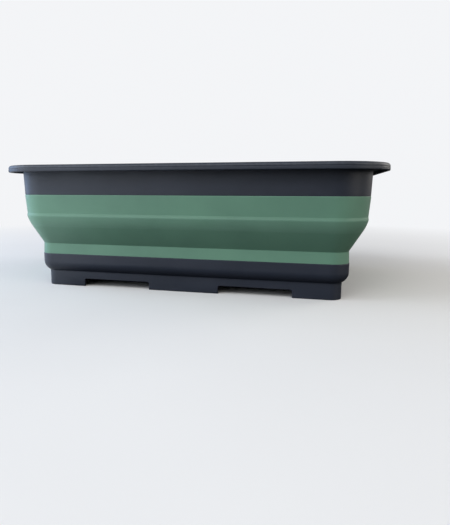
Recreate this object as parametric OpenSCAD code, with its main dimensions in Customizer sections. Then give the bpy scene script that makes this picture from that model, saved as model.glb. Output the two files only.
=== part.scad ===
// Collapsible tub: a stiff rim and a stiff base joined by a soft wall that folds into itself.
// Millimetres, +Z up. The origin is on the floor, under the middle of the tub.
// X runs along the long side, Y across it.

/* [Tub] */
// Overall length, over the flange
tub_l = 380; // [340:5:420]
// Overall width, over the flange
tub_w = 285; // [260:5:320]
// Height, standing open
tub_h = 125; // [120:1:140]
// Radius of the flange's corners, seen from above
flange_r = 48; // [46:1:60]

/* [Rim frame] */
// How far the flange reaches out from the top of the rim's wall
flange_reach = 14; // [12:0.1:18]
// How far the rim's wall leans in on its way down
rim_lean = 1; // [0:0.1:2]
// Height of the lip that turns down at the flange's edge
lip_h = 6.6; // [6:0.1:10]
// Rounding along the flange's outer edge
lip_round = 3.4; // [2.6:0.1:4]
// Rounding at the mouth, where the wall turns into the flange
mouth_round = 5; // [4:0.5:8]
// Height of the stiff rim above the floor, where the soft wall begins
rim_z = 96; // [93:0.5:98]

/* [Folding wall] */
// Height of the outer crease
crease_z = 76; // [73:0.5:79]
// Height of the inner crease, the valley
valley_z = 45.5; // [43:0.5:48]
// How far the wall leans in between the rim and the outer crease
upper_lean = 1; // [0.6:0.1:2.4]
// How far the wall leans in from the stiff base's edge up to the valley
lower_lean = 0.8; // [0:0.1:1.5]
// Gap between bands that pass each other as the tub folds
fold_gap = 0.2; // [0.1:0.05:0.4]

/* [Base] */
// Height of the stiff base, where the soft wall ends
base_z = 34.5; // [33:0.5:37]
// Distance from the bottom of the rim's wall in to the outside of the base
base_inset = 15.8; // [14:0.1:17]
// Rounding where the base's wall turns into its floor
base_round = 11; // [9:0.5:12]
// Height of the floor's underside
floor_z = 14.8; // [14:0.1:17]
// Distance from the outside of the base in to the outside of the foot skirt
skirt_inset = 6.1; // [4:0.1:7]
// Length of each notch in the foot skirt
notch_l = 72; // [50:1:74]
// Height of each notch
notch_h = 8; // [5:0.5:8]
// Half the length of the foot left between two notches
mid_foot = 36; // [30:1:40]

/* [Walls] */
// Thickness of the stiff mouldings
stiff_t = 2.4; // [2:0.1:2.6]
// Thickness of the soft wall
soft_t = 2.4; // [2:0.1:2.6]

/* [Drain] */
// Distance of the drain from the middle of the tub
drain_x = 100; // [60:1:110]
// Radius of the drain hole
drain_r = 17; // [16:0.5:18]
// Radius of the plug's cap
cap_r = 20.5; // [20:0.5:22]
// Radius of the wire of the pull ring
wire_r = 1.1; // [0.9:0.1:1.2]

/* [Hidden] */
$fn = 64;

slate = [0.23, 0.25, 0.29];
green = [0.41, 0.57, 0.50];
black = [0.12, 0.12, 0.13];

// Every wall follows a rounded rectangle about the same four corner centres,
// so a wall's place is its distance out from those centres.
corner_x = tub_l / 2 - flange_r;
corner_y = tub_w / 2 - flange_r;
rim_top_out = flange_r - flange_reach;
rim_top_in = rim_top_out - stiff_t;
rim_out = rim_top_out - rim_lean;
rim_in = rim_out - stiff_t;
crease_out = rim_out - upper_lean;
base_out = rim_out - base_inset;
base_in = base_out - stiff_t;
valley_out = base_out - lower_lean;
skirt_out = base_out - skirt_inset;

// The tongue on each stiff edge that the soft wall is moulded round
tongue_t = stiff_t / 3;
tongue_h = 3;

// The middle band stays clear of the band above it and of the base it slides down over.
fold_out = crease_out - soft_t - fold_gap;
fold_in = base_out + fold_gap;
fold_lap = 1;
fold_slope = (crease_out - valley_out) / (crease_z - valley_z);
crease_round = 2;

edge_round = 0.8;
arc_steps = 8;
notch_round = 2.5;
floor_top = floor_z + stiff_t;

// The drain's seat and the plug that fills it
seat_r = cap_r + 0.5;
boss_r = seat_r + 3.5;
ledge_z = floor_z - 2.5;
boss_z = ledge_z - 4;
cap_top = floor_top + 0.5;
spigot_r = drain_r - 1;
spigot_z = boss_z - 0.5;
seal_r = 1.35;
seal_mid_r = drain_r - 0.05 - seal_r;
seal_mid_z = (ledge_z + boss_z) / 2;
groove_r = seal_mid_r - seal_r - 0.05;
groove_h = 2 * seal_r + 0.1;

// The pull ring and the pocket it lies in
ring_r = 9;
bar_r = wire_r + 0.2;
bar_back = 7;
bar_half = ring_r + bar_r;
pocket_r = 13.2;
pocket_z = ledge_z + stiff_t;
bar_z = pocket_z + bar_r + 0.3;
ear_t = 3;
ear_gap = 8;
ear_r = bar_r + 1.1;
ear_bore_r = bar_r + 0.05;

// Points along an arc about centre c, from angle a0 to angle a1
function arc(c, r, a0, a1) =
    [for (i = [0:arc_steps]) let (a = a0 + (a1 - a0) * i / arc_steps) c + r * [cos(a), sin(a)]];

// Sweeps a profile round the rounded rectangle. The profile's X is the distance
// out from the corner centres, and its Y is the height.
module sweep_round() {
    for (i = [0:3]) {
        side_x = (i == 0 || i == 3) ? 1 : -1;
        side_y = (i < 2) ? 1 : -1;
        half_run = (i % 2 == 0) ? corner_y : corner_x;
        reach = (i % 2 == 0) ? corner_x : corner_y;
        translate([side_x * corner_x, side_y * corner_y, 0])
            rotate([0, 0, 90 * i])
            rotate_extrude(angle = 90)
            children();
        rotate([0, 0, 90 * i])
            translate([reach, half_run, 0])
            rotate([90, 0, 0])
            linear_extrude(2 * half_run)
            children();
    }
}

// The rim: a short wall, rolled out into a flange with a lip turned down at its edge
module rim_profile() {
    plate_z = tub_h - stiff_t;
    lip_z = tub_h - lip_h;
    lip_in = flange_r - stiff_t;
    mouth = [rim_top_in + mouth_round, tub_h - mouth_round];
    polygon(concat(
        [[rim_in, rim_z]],
        arc(mouth, mouth_round, 180, 90),
        arc([flange_r - lip_round, tub_h - lip_round], lip_round, 90, 0),
        arc([flange_r - edge_round, lip_z + edge_round], edge_round, 0, -90),
        arc([lip_in + edge_round, lip_z + edge_round], edge_round, -90, -180),
        arc([lip_in - edge_round, plate_z - edge_round], edge_round, 0, 90),
        arc(mouth, mouth_round - stiff_t, 90, 180),
        [[rim_out, rim_z],
         [rim_out - tongue_t, rim_z],
         [rim_out - tongue_t, rim_z - tongue_h],
         [rim_in + tongue_t, rim_z - tongue_h],
         [rim_in + tongue_t, rim_z]]
    ));
}

module rim_frame() {
    color(slate) sweep_round() rim_profile();
}

// Upper band: hangs from the rim and moves with it, down to the outer crease
module upper_wall() {
    crease_in = crease_out - soft_t;
    color(green) sweep_round()
        polygon(concat(
            [[rim_out, rim_z],
             [rim_out - tongue_t, rim_z],
             [rim_out - tongue_t, rim_z - tongue_h],
             [rim_in + tongue_t, rim_z - tongue_h],
             [rim_in + tongue_t, rim_z],
             [rim_in, rim_z],
             [crease_in, crease_z]],
            arc([crease_out - crease_round, crease_z + crease_round / 2], crease_round, -90, 0)
        ));
}

// Middle band: joins the two creases, and turns inside out as the tub folds.
// Its ends stand upright, inside the band above and outside the band below.
module fold_wall() {
    outer_foot = fold_in + soft_t;
    foot_z = valley_z + (outer_foot - valley_out) / fold_slope;
    head_z = valley_z + (fold_out - valley_out) / fold_slope;
    color(green) sweep_round()
        polygon([
            [fold_in, valley_z - fold_lap],
            [outer_foot, valley_z - fold_lap],
            [outer_foot, foot_z],
            [fold_out, head_z],
            [fold_out, crease_z + fold_lap],
            [fold_out - soft_t, crease_z + fold_lap],
            [fold_out - soft_t, head_z],
            [fold_in, foot_z]
        ]);
}

// Lower band: stands on the base and stays with it, up to the valley
module lower_wall() {
    color(green) sweep_round()
        polygon([
            [base_out, base_z],
            [valley_out, valley_z],
            [valley_out - soft_t, valley_z],
            [base_in, base_z],
            [base_in + tongue_t, base_z],
            [base_in + tongue_t, base_z + tongue_h],
            [base_out - tongue_t, base_z + tongue_h],
            [base_out - tongue_t, base_z]
        ]);
}

// The base: floor, rounded wall, and the foot skirt that it stands on
module base_profile() {
    turn = [base_out - base_round, floor_z + base_round];
    skirt_in = skirt_out - stiff_t;
    skirt_angle = acos((skirt_out - turn[0]) / base_round);
    polygon(concat(
        [[0, floor_z],
         [skirt_in, floor_z],
         [skirt_in, 0]],
        arc([skirt_out - edge_round, edge_round], edge_round, -90, 0),
        arc(turn, base_round, -skirt_angle, 0),
        [[base_out, base_z],
         [base_out - tongue_t, base_z],
         [base_out - tongue_t, base_z + tongue_h],
         [base_in + tongue_t, base_z + tongue_h],
         [base_in + tongue_t, base_z],
         [base_in, base_z]],
        arc(turn, base_round - stiff_t, 0, -90),
        [[0, floor_top]]
    ));
}

// A notch in the skirt, with rounded upper corners
module notch() {
    polygon(concat(
        [[0, -1], [notch_l, -1]],
        arc([notch_l - notch_round, notch_h - notch_round], notch_round, 0, 90),
        arc([notch_round, notch_h - notch_round], notch_round, 90, 180)
    ));
}

module base_tray() {
    color(slate) difference() {
        union() {
            sweep_round() base_profile();
            translate([-corner_x, -corner_y, floor_z])
                cube([2 * corner_x, 2 * corner_y, stiff_t]);
            translate([drain_x, 0, boss_z])
                cylinder(r = boss_r, h = floor_z - boss_z + 1);
        }
        translate([drain_x, 0, ledge_z])
            cylinder(r = seat_r, h = floor_z);
        translate([drain_x, 0, 0])
            cylinder(r = drain_r, h = floor_z);
        for (start = [mid_foot, -mid_foot - notch_l])
            translate([start, tub_w / 2, 0])
                rotate([90, 0, 0])
                linear_extrude(tub_w)
                notch();
    }
}

// The plug: a cap that lies flush in its seat, over a spigot grooved for the seal
module drain_plug() {
    color(slate) translate([drain_x, 0, 0]) {
        difference() {
            rotate_extrude()
                polygon([
                    [0, spigot_z],
                    [spigot_r, spigot_z],
                    [spigot_r, seal_mid_z - groove_h / 2],
                    [groove_r, seal_mid_z - groove_h / 2],
                    [groove_r, seal_mid_z + groove_h / 2],
                    [spigot_r, seal_mid_z + groove_h / 2],
                    [spigot_r, ledge_z],
                    [cap_r, ledge_z],
                    [cap_r, cap_top - edge_round],
                    [cap_r - edge_round, cap_top],
                    [0, cap_top]
                ]);
            translate([0, 0, pocket_z])
                cylinder(r = pocket_r, h = floor_z);
        }
        for (side = [-1, 1])
            translate([-bar_back, side * ear_gap / 2, 0])
                ring_ear();
    }
}

// One of the two ears that hold the pull ring's bar
module ring_ear() {
    difference() {
        union() {
            translate([0, ear_t / 2, bar_z])
                rotate([90, 0, 0])
                cylinder(r = ear_r, h = ear_t);
            translate([-ear_r, -ear_t / 2, pocket_z - 0.5])
                cube([2 * ear_r, ear_t, bar_z - pocket_z + 0.5]);
        }
        translate([0, ear_t, bar_z])
            rotate([90, 0, 0])
            cylinder(r = ear_bore_r, h = 2 * ear_t);
    }
}

// The seal: a soft ring in the plug's groove
module plug_seal() {
    color(black) translate([drain_x, 0, seal_mid_z])
        rotate_extrude()
        translate([seal_mid_r, 0])
        circle(r = seal_r);
}

// The pull ring: a bar in the plug's ears, two arms and a half ring of wire
module plug_pull_ring() {
    color(slate) translate([drain_x, 0, bar_z]) {
        translate([-bar_back, bar_half, 0])
            rotate([90, 0, 0])
            cylinder(r = bar_r, h = 2 * bar_half);
        for (side = [-1, 1])
            translate([-bar_back, side * ring_r, 0])
                rotate([0, 90, 0])
                cylinder(r = wire_r, h = bar_back);
        rotate([0, 0, -90])
            rotate_extrude(angle = 180)
            translate([ring_r, 0])
            circle(r = wire_r);
    }
}

rim_frame();
upper_wall();
fold_wall();
lower_wall();
base_tray();
drain_plug();
plug_seal();
plug_pull_ring();
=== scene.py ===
"""The looks of the collapsible tub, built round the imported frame: rim, folding wall, base and plug.

Everything is in metres, in the frame's own axes: +X along the long side, +Z up, floor at z = 0.
"""
import math

import bmesh
import bpy
from mathutils import Matrix, Vector


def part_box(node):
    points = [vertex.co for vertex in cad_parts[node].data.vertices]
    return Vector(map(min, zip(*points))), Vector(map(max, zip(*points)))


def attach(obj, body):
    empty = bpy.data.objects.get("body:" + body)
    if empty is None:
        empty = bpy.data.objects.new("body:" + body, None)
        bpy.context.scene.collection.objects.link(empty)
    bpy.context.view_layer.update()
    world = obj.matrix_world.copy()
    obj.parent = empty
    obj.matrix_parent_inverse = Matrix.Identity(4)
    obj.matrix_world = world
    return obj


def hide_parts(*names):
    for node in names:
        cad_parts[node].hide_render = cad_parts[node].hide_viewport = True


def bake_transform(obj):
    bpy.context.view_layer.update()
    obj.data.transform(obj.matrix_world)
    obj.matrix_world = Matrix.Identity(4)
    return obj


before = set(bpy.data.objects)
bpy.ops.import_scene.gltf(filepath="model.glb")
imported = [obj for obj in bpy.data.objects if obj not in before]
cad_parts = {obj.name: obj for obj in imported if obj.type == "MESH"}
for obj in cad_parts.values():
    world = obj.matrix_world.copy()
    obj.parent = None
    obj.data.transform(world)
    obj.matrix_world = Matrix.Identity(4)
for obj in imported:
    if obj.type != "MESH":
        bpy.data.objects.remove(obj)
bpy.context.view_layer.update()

MM = 0.001

# ---------------------------------------------------------------- sizes that the boxes don't give

STIFF_T = 2.4 * MM          # thickness of the stiff mouldings
SOFT_T = 2.4 * MM           # thickness of the soft wall
FLANGE_CORNER = 48 * MM     # plan radius of the flange's corners
FLANGE_REACH = 14 * MM      # how far the flange stands out from the wall under it
LIP_H = 6.6 * MM
CREASE_INSET = 1 * MM       # how far the outer crease lies in from the rim's lower edge
VALLEY_INSET = 0.8 * MM     # how far the valley lies in from the base's upper edge
SKIRT_INSET = 6.1 * MM
BASE_ROUND = 11 * MM        # radius of the turn from the base's wall to its floor
FLOOR_Z = 14.8 * MM
NOTCH_H = 8 * MM
NOTCH_START = 36 * MM
NOTCH_END = 108 * MM
STEP = 0.25 * MM            # how far the soft wall stands out from the rim, or in from the base
POCKET_R = 13.2 * MM
LEDGE_DROP = 2.5 * MM       # how far the plug's ledge lies below the floor's underside
EAR_GAP = 8 * MM            # from one ear's middle to the other's
OVERSHOOT = 5 * MM          # how far a cutter runs past what it cuts
HOLD = 0.5 * MM             # how close to a rounding a flat face keeps its flat shading
WELD = 0.001 * MM           # points closer than this are one point
WHOLE_RUN = 1.0             # longer than any side, so that a side is a single stretch

# ---------------------------------------------------------------- places, from the frame

rim_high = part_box("rim_frame")[1]
upper_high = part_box("upper_wall")[1]
fold_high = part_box("fold_wall")[1]
lower_low, lower_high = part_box("lower_wall")
plug_low, plug_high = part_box("drain_plug")
seal_low, seal_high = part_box("plug_seal")
ring_low, ring_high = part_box("plug_pull_ring")

TUB_H = rim_high.z
RIM_Z = upper_high.z
FOLD_LAP = 1 * MM           # how far the frame's middle band reaches above the crease
CREASE_Z = fold_high.z - FOLD_LAP
VALLEY_Z = lower_high.z
BASE_Z = lower_low.z
FLOOR_TOP = FLOOR_Z + STIFF_T

# Every wall runs round the same four corner centres; a wall's place is its distance out from them.
CORNER_X = rim_high.x - FLANGE_CORNER
CORNER_Y = rim_high.y - FLANGE_CORNER
RIM_TOP_OUT = FLANGE_CORNER - FLANGE_REACH
RIM_TOP_IN = RIM_TOP_OUT - STIFF_T
RIM_OUT = upper_high.x - CORNER_X
RIM_IN = RIM_OUT - STIFF_T
CREASE_OUT = RIM_OUT - CREASE_INSET
BASE_OUT = lower_high.x - CORNER_X
BASE_IN = BASE_OUT - STIFF_T
VALLEY_OUT = BASE_OUT - VALLEY_INSET
SKIRT_OUT = BASE_OUT - SKIRT_INSET
SKIRT_IN = SKIRT_OUT - STIFF_T

DRAIN_X = (plug_low.x + plug_high.x) / 2
CAP_R = (plug_high.x - plug_low.x) / 2
SEAT_R = CAP_R + 0.5 * MM
SEAL_R = (seal_high.x - seal_low.x) / 2
SEAL_WIRE = (seal_high.z - seal_low.z) / 2
SEAL_Z = (seal_high.z + seal_low.z) / 2
DRAIN_R = SEAL_R + 0.05 * MM
LEDGE_Z = FLOOR_Z - LEDGE_DROP
POCKET_Z = LEDGE_Z + STIFF_T
BAR_R = (ring_high.z - ring_low.z) / 2
BAR_X = ring_low.x + BAR_R
BAR_Z = (ring_high.z + ring_low.z) / 2
RING_R = ring_high.y - BAR_R
WIRE_R = ring_high.x - DRAIN_X - RING_R

# ---------------------------------------------------------------- outlines


def arc(u, z, radius, start, end, steps):
    """Points (u, z) round a circle from one angle to another."""
    turn = (end - start) / steps
    return [(u + radius * math.cos(start + k * turn), z + radius * math.sin(start + k * turn))
            for k in range(steps + 1)]


def rounded(corners, steps=6):
    """An outline (u, z, edge) through corners (u, z, radius). Each corner becomes an arc;
    edge is 1 on the arc of a convex corner, and marks where a moulding wears and where the
    soft wall's creases are painted paler, partly as a highlight."""
    outline = []
    count = len(corners)
    for i, (u, z, radius) in enumerate(corners):
        here = Vector((u, z))
        back = (Vector(corners[i - 1][:2]) - here).normalized()
        ahead = (Vector(corners[(i + 1) % count][:2]) - here).normalized()
        if radius == 0:
            outline.append((u, z, 0.0))
            continue
        turn = back.angle(ahead)
        reach = radius / math.tan(turn / 2)
        centre = here + (back + ahead).normalized() * (radius / math.sin(turn / 2))
        start = here + back * reach - centre
        sweep_angle = math.pi - turn
        convex = (-back).x * ahead.y - (-back).y * ahead.x > 0
        sign = 1 if convex else -1
        for k in range(steps + 1):
            point = centre + Matrix.Rotation(sign * sweep_angle * k / steps, 2) @ start
            outline.append((point.x, point.y, 1.0 if convex else 0.0))
    return outline


def spaced(outline, step):
    """The same closed outline with long straights cut into pieces no longer than step."""
    result = []
    for i, (u0, z0, e0) in enumerate(outline):
        u1, z1, _ = outline[(i + 1) % len(outline)]
        pieces = max(1, math.ceil(math.hypot(u1 - u0, z1 - z0) / step))
        for k in range(pieces):
            t = k / pieces
            result.append((u0 + (u1 - u0) * t, z0 + (z1 - z0) * t, e0 if k == 0 else 0.0))
    return result


def held(outline, gap, closed=True):
    """The same outline with a point gap in from each end of every long straight, so that a flat
    face keeps its flat shading up to the rounding beside it."""
    result = []
    count = len(outline)
    for i in range(count if closed else count - 1):
        u0, z0, e0 = outline[i]
        u1, z1, _ = outline[(i + 1) % count]
        result.append((u0, z0, e0))
        length = math.hypot(u1 - u0, z1 - z0)
        if length > 3 * gap:
            for t in (gap / length, 1 - gap / length):
                result.append((u0 + (u1 - u0) * t, z0 + (z1 - z0) * t, 0.0))
    if not closed:
        result.append(outline[-1])
    return result


# ---------------------------------------------------------------- meshes


def new_piece(name, mesh, smooth=True):
    piece = bpy.data.objects.new(name, mesh)
    bpy.context.scene.collection.objects.link(piece)
    for polygon in mesh.polygons:
        polygon.use_smooth = smooth
    return piece


def closed_piece(name, bm, smooth=True):
    """Makes a piece of a closed bmesh, with its faces turned outward."""
    bmesh.ops.recalc_face_normals(bm, faces=bm.faces)
    mesh = bpy.data.meshes.new(name)
    bm.to_mesh(mesh)
    bm.free()
    return new_piece(name, mesh, smooth)


def bridge(bm, here, ahead, closed=True):
    """Faces between two rows of points. With closed, each row's last point joins its first."""
    size = len(here)
    for j in range(size if closed else size - 1):
        k = (j + 1) % size
        bm.faces.new((here[j], ahead[j], ahead[k], here[k]))


def rail(run_step, corner_steps=20):
    """Points round the rounded rectangle, each (corner centre x, y, outward x, y)."""
    points = []
    corners = [(1, 1), (-1, 1), (-1, -1), (1, -1)]
    for i, (sx, sy) in enumerate(corners):
        here = Vector((sx * CORNER_X, sy * CORNER_Y))
        for k in range(corner_steps + 1):
            a = math.pi / 2 * (i + k / corner_steps)
            points.append((here.x, here.y, math.cos(a), math.sin(a)))
        nx, ny = corners[(i + 1) % 4]
        there = Vector((nx * CORNER_X, ny * CORNER_Y))
        a = math.pi / 2 * (i + 1)
        pieces = math.ceil((there - here).length / run_step)
        for k in range(1, pieces):
            p = here.lerp(there, k / pieces)
            points.append((p.x, p.y, math.cos(a), math.sin(a)))
    return points


def sweep(name, outline, closed=True, cap=False, run_step=8 * MM):
    """Carries an outline round the rail. With cap, its two open ends are closed across the middle."""
    bm = bmesh.new()
    edge_layer = bm.verts.layers.float.new("edge")
    grid = []
    for cx, cy, nx, ny in rail(run_step):
        row = []
        for u, z, edge in outline:
            vert = bm.verts.new((cx + u * nx, cy + u * ny, z))
            vert[edge_layer] = edge
            row.append(vert)
        grid.append(row)
    for i, here in enumerate(grid):
        bridge(bm, here, grid[(i + 1) % len(grid)], closed)
    if cap:
        bm.faces.new([row[0] for row in reversed(grid)])
        bm.faces.new([row[-1] for row in grid])
    return closed_piece(name, bm)


def lathe(name, outline, centre, steps=96, closed=False):
    """Turns an outline of (radius, z, edge) about the vertical line through centre."""
    bm = bmesh.new()
    edge_layer = bm.verts.layers.float.new("edge")
    grid = []
    for i in range(steps):
        a = 2 * math.pi * i / steps
        row = []
        for radius, z, edge in outline:
            vert = bm.verts.new((centre.x + radius * math.cos(a), centre.y + radius * math.sin(a), z))
            vert[edge_layer] = edge
            row.append(vert)
        grid.append(row)
    for i, here in enumerate(grid):
        bridge(bm, here, grid[(i + 1) % steps], closed)
    bmesh.ops.remove_doubles(bm, verts=bm.verts, dist=WELD)
    return closed_piece(name, bm)


def drum(name, radius, low, high, centre):
    """An upright round block."""
    return lathe(name, [(0, low, 0), (radius, low, 0), (radius, high, 0), (0, high, 0)], centre)


def prism(name, outline, centre, half):
    """An outline of (x, z) about centre, carried along Y to half on each side."""
    bm = bmesh.new()
    front = [bm.verts.new((centre.x + x, centre.y - half, centre.z + z)) for x, z in outline]
    back = [bm.verts.new((centre.x + x, centre.y + half, centre.z + z)) for x, z in outline]
    bm.faces.new(front)
    bm.faces.new(list(reversed(back)))
    bridge(bm, front, back)
    return closed_piece(name, bm, smooth=False)


def wire(name, path, height, sides=16):
    """Round wire along a closed flat path of (x, y, wire radius) at one height."""
    bm = bmesh.new()
    count = len(path)
    grid = []
    for i, (x, y, radius) in enumerate(path):
        before = Vector(path[i - 1][:2])
        after = Vector(path[(i + 1) % count][:2])
        along = (after - before).normalized()
        side = Vector((along.y, -along.x))
        ring = arc(0, height, radius, 0, 2 * math.pi, sides)[:-1]
        grid.append([bm.verts.new((x + side.x * out, y + side.y * out, z)) for out, z in ring])
    for i, here in enumerate(grid):
        bridge(bm, here, grid[(i + 1) % count])
    return closed_piece(name, bm)


def combine(piece, other, operation):
    """Puts the boolean of piece and other in the piece, welds points that lie in one place, and
    deletes the other."""
    modifier = piece.modifiers.new("combine", "BOOLEAN")
    modifier.operation = operation
    modifier.solver = "EXACT"
    modifier.object = other
    bpy.context.view_layer.update()
    graph = bpy.context.evaluated_depsgraph_get()
    mesh = bpy.data.meshes.new_from_object(piece.evaluated_get(graph), depsgraph=graph)
    piece.modifiers.clear()
    bm = bmesh.new()
    bm.from_mesh(mesh)
    bmesh.ops.remove_doubles(bm, verts=bm.verts, dist=WELD)
    bm.to_mesh(mesh)
    bm.free()
    piece.data = mesh
    bpy.data.objects.remove(other)


def cut(piece, cutter):
    combine(piece, cutter, "DIFFERENCE")


def join(piece, other):
    combine(piece, other, "UNION")


def crisp(piece):
    """Smooth shading, broken at corners and round every broad flat face."""
    flat = math.radians(0.5)
    corner = math.radians(40)
    broad = 1 * MM
    for polygon in piece.data.polygons:
        polygon.use_smooth = True
    bm = bmesh.new()
    bm.from_mesh(piece.data)
    for edge in bm.edges:
        if not edge.is_manifold:
            continue
        turn = edge.calc_face_angle()
        width = max(2 * face.calc_area() / face.calc_perimeter() for face in edge.link_faces)
        edge.smooth = turn < flat or (turn < corner and width < broad)
    bm.to_mesh(piece.data)
    bm.free()


# ---------------------------------------------------------------- materials


def linear(red, green, blue):
    """An sRGB colour, each part from 0 to 255, as the linear colour that a shader takes."""
    parts = [c / 255 for c in (red, green, blue)]
    return [c / 12.92 if c <= 0.04045 else ((c + 0.055) / 1.055) ** 2.4 for c in parts] + [1.0]


def grey(level):
    return (level, level, level, 1)


class Paint:
    """A node material under construction."""

    def __init__(self, name):
        self.material = bpy.data.materials.new(name)
        self.material.use_nodes = True
        self.nodes = self.material.node_tree.nodes
        self.links = self.material.node_tree.links
        self.shader = self.nodes["Principled BSDF"]
        self.place = self.add("ShaderNodeTexCoord").outputs["Object"]

    def feed(self, socket, value):
        """Links a socket to another, or sets its value."""
        if isinstance(value, bpy.types.NodeSocket):
            self.links.new(value, socket)
        else:
            socket.default_value = value

    def add(self, kind, settings=None, **inputs):
        node = self.nodes.new(kind)
        for key, value in (settings or {}).items():
            setattr(node, key, value)
        for key, value in inputs.items():
            self.feed(node.inputs[key.replace("_", " ")], value)
        return node

    def noise(self, scale, detail=3.0, stretch=(1, 1, 1)):
        """Noise about 1 / scale metres across, from 0 to 1."""
        place = self.add("ShaderNodeMapping", Vector=self.place, Scale=stretch)
        return self.add("ShaderNodeTexNoise", Vector=place.outputs["Vector"], Scale=scale,
                        Detail=detail, Roughness=0.5).outputs["Fac"]

    def span(self, value, low, high, to_low=0.0, to_high=1.0):
        """Maps value from low..high to to_low..to_high, and clamps it."""
        return self.add("ShaderNodeMapRange", Value=value, From_Min=low, From_Max=high,
                        To_Min=to_low, To_Max=to_high).outputs["Result"]

    def math(self, operation, a, b):
        node = self.add("ShaderNodeMath", {"operation": operation})
        self.feed(node.inputs[0], a)
        self.feed(node.inputs[1], b)
        return node.outputs["Value"]

    def mix(self, share, a, b):
        """Colour a where share is 0, colour b where it is 1."""
        node = self.add("ShaderNodeMix", {"data_type": "RGBA"})
        for key, value in (("Factor_Float", share), ("A_Color", a), ("B_Color", b)):
            self.feed(next(s for s in node.inputs if s.identifier == key), value)
        return next(s for s in node.outputs if s.identifier == "Result_Color")

    def attribute(self, name):
        """A value that the mesh carries at each of its points."""
        return self.add("ShaderNodeAttribute", {"attribute_name": name}).outputs["Fac"]

    def bump(self, layers):
        """Bumps from (height, depth in metres), the deepest layer first."""
        normal = None
        for height, depth in layers:
            node = self.add("ShaderNodeBump", Height=height, Distance=depth, Strength=1.0)
            if normal is not None:
                self.links.new(normal, node.inputs["Normal"])
            normal = node.outputs["Normal"]
        self.links.new(normal, self.shader.inputs["Normal"])

    def finish(self, **inputs):
        for key, value in inputs.items():
            self.feed(self.shader.inputs[key.replace("_", " ")], value)
        return self.material


def slate_plastic():
    """Moulded polypropylene: fine spark texture, faint flow marks, pale scuffs on its edges."""
    paint = Paint("slate_plastic")
    flow = paint.noise(14, 4, (1, 1, 3))
    body = paint.mix(paint.span(flow, 0.35, 0.65), linear(37, 43, 55), linear(42, 48, 61))
    patches = paint.span(paint.noise(260, 4), 0.40, 0.75)
    scuffs = paint.math("MULTIPLY", paint.attribute("edge"), patches)
    colour = paint.mix(paint.math("MULTIPLY", scuffs, 0.14), body, linear(96, 104, 116))
    scratches = paint.span(paint.noise(160, 5, (1, 1, 14)), 0.62, 0.72)
    rough = paint.math("ADD", paint.span(paint.noise(55, 4), 0.3, 0.7, 0.40, 0.50),
                       paint.math("MULTIPLY", scratches, 0.07))
    spark = paint.noise(2600, 2)
    paint.bump([(flow, 0.03 * MM), (spark, 0.03 * MM), (scratches, 0.004 * MM)])
    return paint.finish(Base_Color=colour, Roughness=rough, IOR=1.49)


def green_elastomer():
    """Soft moulded wall: satin skin, painted shade that darkens the green towards the valley, and
    paler creases that are partly a painted highlight.
    """
    paint = Paint("green_elastomer")
    cloud = paint.span(paint.noise(18, 4), 0.35, 0.65)
    body = paint.mix(cloud, linear(96, 137, 117), linear(102, 145, 123))
    # Painted shade: the green turns darker towards the bottom of the middle band, near the valley.
    hollow = paint.math("MULTIPLY", paint.attribute("hollow"), 0.35)
    valley_shaded = paint.mix(hollow, body, linear(66, 100, 84))
    # Paler crease lines: partly stress-whitening of the soft rubber, partly a painted highlight along
    # the crests.
    crease_whitening_and_highlight = paint.math("MULTIPLY", paint.attribute("edge"),
                       paint.span(paint.noise(45, 3), 0.3, 0.7, 0.08, 0.16))
    colour = paint.mix(crease_whitening_and_highlight, valley_shaded, linear(138, 172, 158))
    marks = paint.span(paint.noise(70, 5, (1, 1, 2)), 0.4, 0.7)
    rough = paint.math("ADD", 0.46, paint.math("MULTIPLY", marks, 0.10))
    ripple = paint.noise(26, 2, (1, 1, 4))
    grain = paint.noise(1900, 2)
    paint.bump([(ripple, 0.03 * MM), (grain, 0.03 * MM)])
    return paint.finish(Base_Color=colour, Roughness=rough, IOR=1.45, Sheen_Weight=0.08,
                        Sheen_Roughness=0.5)


def seal_rubber():
    """Black rubber with a dull moulded skin."""
    paint = Paint("seal_rubber")
    dust = paint.span(paint.noise(300, 4), 0.45, 0.7)
    colour = paint.mix(dust, linear(28, 29, 31), linear(46, 47, 50))
    rough = paint.math("ADD", 0.62, paint.math("MULTIPLY", dust, 0.15))
    paint.bump([(paint.noise(4000, 2), 0.02 * MM)])
    return paint.finish(Base_Color=colour, Roughness=rough)


def dress(piece, material, body=None):
    """Gives a piece its material and slot, and the body that it rides on."""
    piece.data.materials.clear()
    piece.data.materials.append(material)
    if body:
        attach(piece, body)
    return piece


slate = slate_plastic()
green = green_elastomer()
black = seal_rubber()

# ---------------------------------------------------------------- rim


def build_rim():
    """Flange with a rounded, grooved edge and a lip turned down, over the stiff upper wall."""
    plate_z = TUB_H - STIFF_T
    lip_z = TUB_H - LIP_H
    lip_in = FLANGE_CORNER - STIFF_T
    groove_z = TUB_H - 3.5 * MM
    groove_half = 0.45 * MM
    groove_depth = 0.35 * MM
    above_groove = FLANGE_CORNER - 0.1 * MM
    outline = rounded([
        (RIM_IN, RIM_Z, 0.3 * MM),
        (RIM_OUT, RIM_Z, 0.35 * MM),
        (RIM_TOP_OUT, plate_z, 2.6 * MM),
        (lip_in, plate_z, 0.8 * MM),
        (lip_in, lip_z, 0.9 * MM),
        (FLANGE_CORNER, lip_z, 0.9 * MM),
        (FLANGE_CORNER, groove_z - groove_half, 0.2 * MM),
        (FLANGE_CORNER - groove_depth, groove_z, 0.2 * MM),
        (above_groove, groove_z + groove_half, 0.2 * MM),
        (above_groove, TUB_H, 2.8 * MM),
        (RIM_TOP_IN, TUB_H, 5 * MM),
    ], steps=8)
    rim = sweep("rim", spaced(held(outline, HOLD), 4 * MM))
    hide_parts("rim_frame")
    return dress(rim, slate, "rim")


# ---------------------------------------------------------------- folding wall


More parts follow.
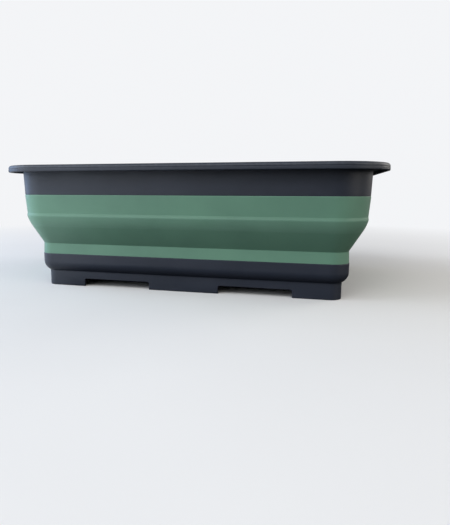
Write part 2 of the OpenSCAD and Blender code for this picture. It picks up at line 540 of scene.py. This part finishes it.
def mark_valley_shade(wall):
    """Marks how far down towards the valley each point of the middle band lies, from 1 down to 0: the
    mask for the painted shade that darkens the green there.
    """
    layer = wall.data.attributes.new("hollow", "FLOAT", "POINT")
    reach = 0.6 * (CREASE_Z - VALLEY_Z)
    for vertex, point in zip(wall.data.vertices, layer.data):
        rise = vertex.co.z - VALLEY_Z
        point.value = max(0.0, 1 - rise / reach) if rise > 0 else 0.0


def build_wall():
    """One soft wall from rim to base, built standing open. On the real tub its middle band turns
    inside out as the tub folds.
    """
    outline = rounded([
        (BASE_IN, BASE_Z, 0.3 * MM),
        (BASE_OUT - STEP, BASE_Z, 0.3 * MM),
        (VALLEY_OUT, VALLEY_Z, 1.4 * MM),
        # The shoulder, then the bead along the outer crease.
        (CREASE_OUT - 1.6 * MM, CREASE_Z - 7.6 * MM, 40 * MM),
        (CREASE_OUT + 0.2 * MM, CREASE_Z - 1.4 * MM, 4 * MM),
        (CREASE_OUT - 0.3 * MM, CREASE_Z + 1.4 * MM, 3 * MM),
        (RIM_OUT + STEP, RIM_Z, 0.5 * MM),
        (RIM_IN, RIM_Z, 0.3 * MM),
        (CREASE_OUT - SOFT_T, CREASE_Z - 4.0 * MM, 14 * MM),
        (VALLEY_OUT - SOFT_T, VALLEY_Z + 0.8 * MM, 3.4 * MM),
    ], steps=10)
    wall = sweep("folding_wall", spaced(held(outline, HOLD), 1.8 * MM))
    mark_valley_shade(wall)
    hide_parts("upper_wall", "fold_wall", "lower_wall")
    dress(wall, green)
    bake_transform(wall)
    return wall


# ---------------------------------------------------------------- base


def notch_cutter(start, end):
    """A block as wide as the tub that cuts one rounded notch through both long skirts. It flares
    at each face of a skirt, which rounds the notch's edges."""
    corner = 2 * MM
    flare = 0.4 * MM
    outer_face = CORNER_Y + SKIRT_OUT
    inner_face = CORNER_Y + SKIRT_IN
    # How far the block stands out (y) from a face, and how much it grows there. The first point
    # carries the flare through the face, so that the block never just touches the face.
    round_off = [(0.067 * flare, 1.25 * flare)]
    for k in (1, 2, 3):
        a = math.pi / 6 * k
        round_off.append((flare * (math.cos(a) - 1), flare * (1 - math.sin(a))))
    side = [(rim_high.y, round_off[0][1])]
    side += [(outer_face + y, grow) for y, grow in round_off]
    side += [(inner_face - y, grow) for y, grow in reversed(round_off)]
    side.append((inner_face - 2 * STIFF_T, 0))
    bm = bmesh.new()
    rows = []
    for y, grow in side + [(-y, grow) for y, grow in reversed(side)]:
        outline = rounded([
            (start - grow, -OVERSHOOT, 0),
            (end + grow, -OVERSHOOT, 0),
            (end + grow, NOTCH_H + grow, corner + grow),
            (start - grow, NOTCH_H + grow, corner + grow),
        ])
        rows.append([bm.verts.new((x, y, z)) for x, z, _ in outline])
    for here, ahead in zip(rows, rows[1:]):
        bridge(bm, here, ahead)
    bm.faces.new(rows[0])
    bm.faces.new(list(reversed(rows[-1])))
    return closed_piece("notch", bm)


def base_outline():
    """Down the skirt's inner face from the floor, round its foot, up over the rounded turn and the
    wall, and down the wall's inner face to the top of the floor."""
    foot_round = 0.8 * MM
    fillet = 0.9 * MM
    turn_u = BASE_OUT - BASE_ROUND
    turn_z = FLOOR_Z + BASE_ROUND
    # The skirt meets the rounded turn in a small hollow fillet.
    fillet_u = SKIRT_OUT + fillet
    meet = math.asin((fillet_u - turn_u) / (BASE_ROUND + fillet))
    fillet_z = turn_z - (BASE_ROUND + fillet) * math.cos(meet)
    skirt = rounded([
        (SKIRT_IN, FLOOR_Z, 0),
        (SKIRT_IN, 0, foot_round),
        (SKIRT_OUT, 0, foot_round),
        (SKIRT_OUT, fillet_z, 0),
    ], steps=5)
    hollow = arc(fillet_u, fillet_z, fillet, math.pi, math.pi / 2 + meet, 6)
    turn = arc(turn_u, turn_z, BASE_ROUND, meet - math.pi / 2, 0, 13)
    wall = rounded([
        (BASE_OUT, turn_z, 0),
        (BASE_OUT, BASE_Z, 0.35 * MM),
        (BASE_IN, BASE_Z, 0.3 * MM),
        (BASE_IN, FLOOR_TOP, BASE_ROUND - STIFF_T),
        (0, FLOOR_TOP, 0),
    ], steps=10)
    return skirt + [(u, z, 0.0) for u, z in hollow[1:] + turn[1:]] + wall[1:-1]


def build_base():
    """Low wall with a rounded turn, floor, drain seat and the notched foot skirt."""
    outline = held(base_outline(), 0.8 * MM, closed=False)
    base = sweep("base", outline, closed=False, cap=True, run_step=WHOLE_RUN)
    drain = Vector((DRAIN_X, 0, 0))
    boss_wall = 3.5 * MM
    boss_depth = 4 * MM
    boss_lap = 1 * MM
    join(base, drum("boss", SEAT_R + boss_wall, LEDGE_Z - boss_depth, FLOOR_Z + boss_lap, drain))
    cut(base, drum("seat", SEAT_R, LEDGE_Z, FLOOR_TOP + OVERSHOOT, drain))
    cut(base, drum("hole", DRAIN_R, -OVERSHOOT, FLOOR_TOP, drain))
    cut(base, notch_cutter(NOTCH_START, NOTCH_END))
    cut(base, notch_cutter(-NOTCH_END, -NOTCH_START))
    crisp(base)
    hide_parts("base_tray")
    return dress(base, slate, "base")


# ---------------------------------------------------------------- drain plug, seal and pull ring


def build_ear(side):
    """An upright ear with a round top, bored for the pull ring's bar."""
    centre = Vector((BAR_X, side * EAR_GAP / 2, BAR_Z))
    radius = BAR_R + 1.1 * MM
    half = 1.5 * MM
    foot = POCKET_Z - BAR_Z - 0.5 * MM
    outline = arc(0, 0, radius, 0, math.pi, 16) + [(-radius, foot), (radius, foot)]
    ear = prism("ear", outline, centre, half)
    bore = arc(0, 0, BAR_R + 0.05 * MM, 0, 2 * math.pi, 32)[:-1]
    cut(ear, prism("bore", bore, centre, 2 * half))
    return ear


def build_plug():
    """A cap with a finger pocket, over a spigot grooved for the seal."""
    groove_half = SEAL_WIRE + 0.05 * MM
    spigot_r = DRAIN_R - 1 * MM
    groove_r = SEAL_R - 2 * SEAL_WIRE - 0.05 * MM
    outline = rounded([
        (0, plug_low.z, 0),
        (spigot_r, plug_low.z, 0.6 * MM),
        (spigot_r, SEAL_Z - groove_half, 0.15 * MM),
        (groove_r, SEAL_Z - groove_half, 0.3 * MM),
        (groove_r, SEAL_Z + groove_half, 0.3 * MM),
        (spigot_r, SEAL_Z + groove_half, 0.15 * MM),
        (spigot_r, LEDGE_Z, 0.3 * MM),
        (CAP_R, LEDGE_Z, 0.4 * MM),
        (CAP_R, plug_high.z, 0.9 * MM),
        (POCKET_R, plug_high.z, 0.7 * MM),
        (POCKET_R, POCKET_Z, 1.2 * MM),
        (0, POCKET_Z, 0),
    ])
    plug = lathe("plug", held(outline, 0.3 * MM, closed=False), Vector((DRAIN_X, 0, 0)))
    for side in (-1, 1):
        join(plug, build_ear(side))
    crisp(plug)
    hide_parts("drain_plug")
    return dress(plug, slate, "plug")


def build_seal():
    """A round rubber ring with a fine parting line round its outside."""
    flash = 0.04 * MM
    body = arc(SEAL_R - SEAL_WIRE, SEAL_Z, SEAL_WIRE - flash, 0, 2 * math.pi, 28)[1:-1]
    outline = [(SEAL_R, SEAL_Z, 0.0)] + [(radius, z, 0.0) for radius, z in body]
    seal = lathe("seal", outline, Vector((DRAIN_X, 0, 0)), closed=True)
    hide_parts("plug_seal")
    return dress(seal, black, "plug")


def build_ring():
    """A D of round wire: its straight side is the hinge bar, held in the plug's ears."""
    bend = 2 * MM
    steps = 6
    # The bend at the bar's +Y end, from the bar to the arm. The wire thins along it.
    corner = arc(BAR_X + bend, RING_R - bend, bend, math.pi, math.pi / 2, steps)
    leg = [(x, y, BAR_R + (WIRE_R - BAR_R) * k / steps) for k, (x, y) in enumerate(corner)]
    bow = [(x, y, WIRE_R) for x, y in arc(DRAIN_X, 0, RING_R, math.pi / 2, -math.pi / 2, 36)]
    path = [(BAR_X, 0, BAR_R), (BAR_X, EAR_GAP, BAR_R)] + leg + bow
    path += [(x, -y, radius) for x, y, radius in reversed(leg)] + [(BAR_X, -EAR_GAP, BAR_R)]
    ring = wire("pull_ring", path, BAR_Z)
    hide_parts("plug_pull_ring")
    return dress(ring, slate, "pull")


build_rim()
build_wall()
build_base()
build_plug()
build_seal()
build_ring()

# ---------------------------------------------------------------- stage

BACKDROP = (0.90, 0.91, 0.93, 1)
SKY = 0.32                  # strength of the even light from all round
FLOOR_HALF = 3.0
FLOOR_BOUNCE = 0.05         # how pale the floor is to light that bounces off it
FLOOR_BOUNCE_LEFT = 0.85    # the same, left of BOUNCE_EDGE, where light from the window lands
BOUNCE_EDGE = -0.12
BOUNCE_FADE = 60 * MM
FADE_START = 0.30           # the floor fades into the backdrop between these distances
FADE_END = 0.95
LIGHT_AIM = (0, 0, 0.08)

# name, place, (width, height), watts, colour
LIGHTS = (
    ("window", (-1.4, -0.7, 0.9), (1.2, 1.2), 15.4, (0.93, 1.0, 1.10)),
    ("window_side", (-1.5, 0.1, 0.5), (1.0, 1.0), 5.4, (0.70, 1.0, 1.55)),
    ("window_low", (-1.2, -1.2, 0.25), (1.0, 0.5), 2.2, (0.85, 1.0, 1.18)),
    ("front_left", (-0.6, -1.6, 0.9), (1.0, 1.0), 6.3, (0.98, 1.0, 1.02)),
    ("front", (0.2, -1.5, 1.5), (1.6, 1.0), 8.6, (1.02, 1.0, 0.97)),
    ("right", (1.5, -0.6, 0.6), (0.8, 0.8), 6.3, (1.06, 1.0, 0.92)),
    ("right_back", (1.2, 0.8, 0.6), (0.8, 0.8), 5.1, (1.06, 1.0, 0.92)),
)

CAMERA_PLACE = (0.1324, -0.5384, 0.1006)
CAMERA_YAW = math.radians(-14.22)
CAMERA_PITCH = math.radians(-8.29)
CAMERA_ROLL = math.radians(0.16)
CAMERA_LENS = 31.54
CAMERA_SHIFT = (0.0389, -0.0093)


def floor_paint():
    """Pale matt floor. It looks pale to the camera, but throws little light up at the object, and
    far from the object it fades into the backdrop."""
    paint = Paint("pale_floor")
    pale = paint.mix(paint.span(paint.noise(3, 3), 0.3, 0.7), grey(0.80), grey(0.84))
    seen = paint.add("ShaderNodeLightPath").outputs["Is Camera Ray"]
    across = paint.add("ShaderNodeSeparateXYZ", Vector=paint.place).outputs["X"]
    leftward = paint.span(across, BOUNCE_EDGE, BOUNCE_EDGE - BOUNCE_FADE)
    bounce = paint.mix(leftward, grey(FLOOR_BOUNCE), grey(FLOOR_BOUNCE_LEFT))
    distance = paint.add("ShaderNodeVectorMath", {"operation": "LENGTH"}, Vector=paint.place)
    far = paint.span(distance.outputs["Value"], FADE_START, FADE_END)
    plain = paint.add("ShaderNodeEmission", Color=BACKDROP).outputs["Emission"]
    blend = paint.add("ShaderNodeMixShader", Fac=paint.math("MULTIPLY", far, seen))
    paint.links.new(paint.shader.outputs["BSDF"], blend.inputs[1])
    paint.links.new(plain, blend.inputs[2])
    paint.links.new(blend.outputs["Shader"], paint.nodes["Material Output"].inputs["Surface"])
    return paint.finish(Base_Color=paint.mix(seen, bounce, pale), Roughness=0.9,
                        Specular_IOR_Level=0.0)


def build_floor():
    bm = bmesh.new()
    bmesh.ops.create_grid(bm, x_segments=4, y_segments=4, size=FLOOR_HALF)
    mesh = bpy.data.meshes.new("floor")
    bm.to_mesh(mesh)
    bm.free()
    floor = new_piece("floor", mesh)
    floor.data.materials.append(floor_paint())


def area_light(name, place, size, power, colour):
    data = bpy.data.lights.new(name, "AREA")
    data.shape = "RECTANGLE"
    data.size, data.size_y = size
    data.energy = power
    data.color = colour
    light = bpy.data.objects.new(name, data)
    bpy.context.scene.collection.objects.link(light)
    light.location = place
    light.rotation_euler = (Vector(LIGHT_AIM) - Vector(place)).to_track_quat("-Z", "Y").to_euler()


def build_world():
    """A pale backdrop for the camera, and a soft even sky for the light."""
    world = bpy.data.worlds.new("studio")
    bpy.context.scene.world = world
    world.use_nodes = True
    nodes = world.node_tree.nodes
    links = world.node_tree.links
    sky = nodes["Background"]
    sky.inputs["Color"].default_value = grey(1.0)
    sky.inputs["Strength"].default_value = SKY
    backdrop = nodes.new("ShaderNodeBackground")
    backdrop.inputs["Color"].default_value = BACKDROP
    pick = nodes.new("ShaderNodeMixShader")
    links.new(nodes.new("ShaderNodeLightPath").outputs["Is Camera Ray"], pick.inputs[0])
    links.new(sky.outputs["Background"], pick.inputs[1])
    links.new(backdrop.outputs["Background"], pick.inputs[2])
    links.new(pick.outputs["Shader"], nodes["World Output"].inputs["Surface"])


def build_camera():
    """The photograph's view: a little above the floor, near the right end, turned to the left."""
    data = bpy.data.cameras.new("camera")
    data.sensor_fit = "AUTO"
    data.sensor_width = 36
    data.lens = CAMERA_LENS
    data.shift_x, data.shift_y = CAMERA_SHIFT
    data.clip_start = 0.01
    camera = bpy.data.objects.new("camera", data)
    bpy.context.scene.collection.objects.link(camera)
    camera.location = CAMERA_PLACE
    level = math.cos(CAMERA_PITCH)
    forward = Vector((math.sin(CAMERA_YAW) * level, math.cos(CAMERA_YAW) * level,
                      math.sin(CAMERA_PITCH)))
    turn = forward.to_track_quat("-Z", "Y").to_matrix()
    camera.rotation_euler = (turn @ Matrix.Rotation(CAMERA_ROLL, 3, "Z")).to_euler()
    bpy.context.scene.camera = camera


build_floor()
for light in LIGHTS:
    area_light(*light)
build_world()
build_camera()
bpy.context.scene.view_settings.view_transform = "Standard"

bpy.context.view_layer.update()
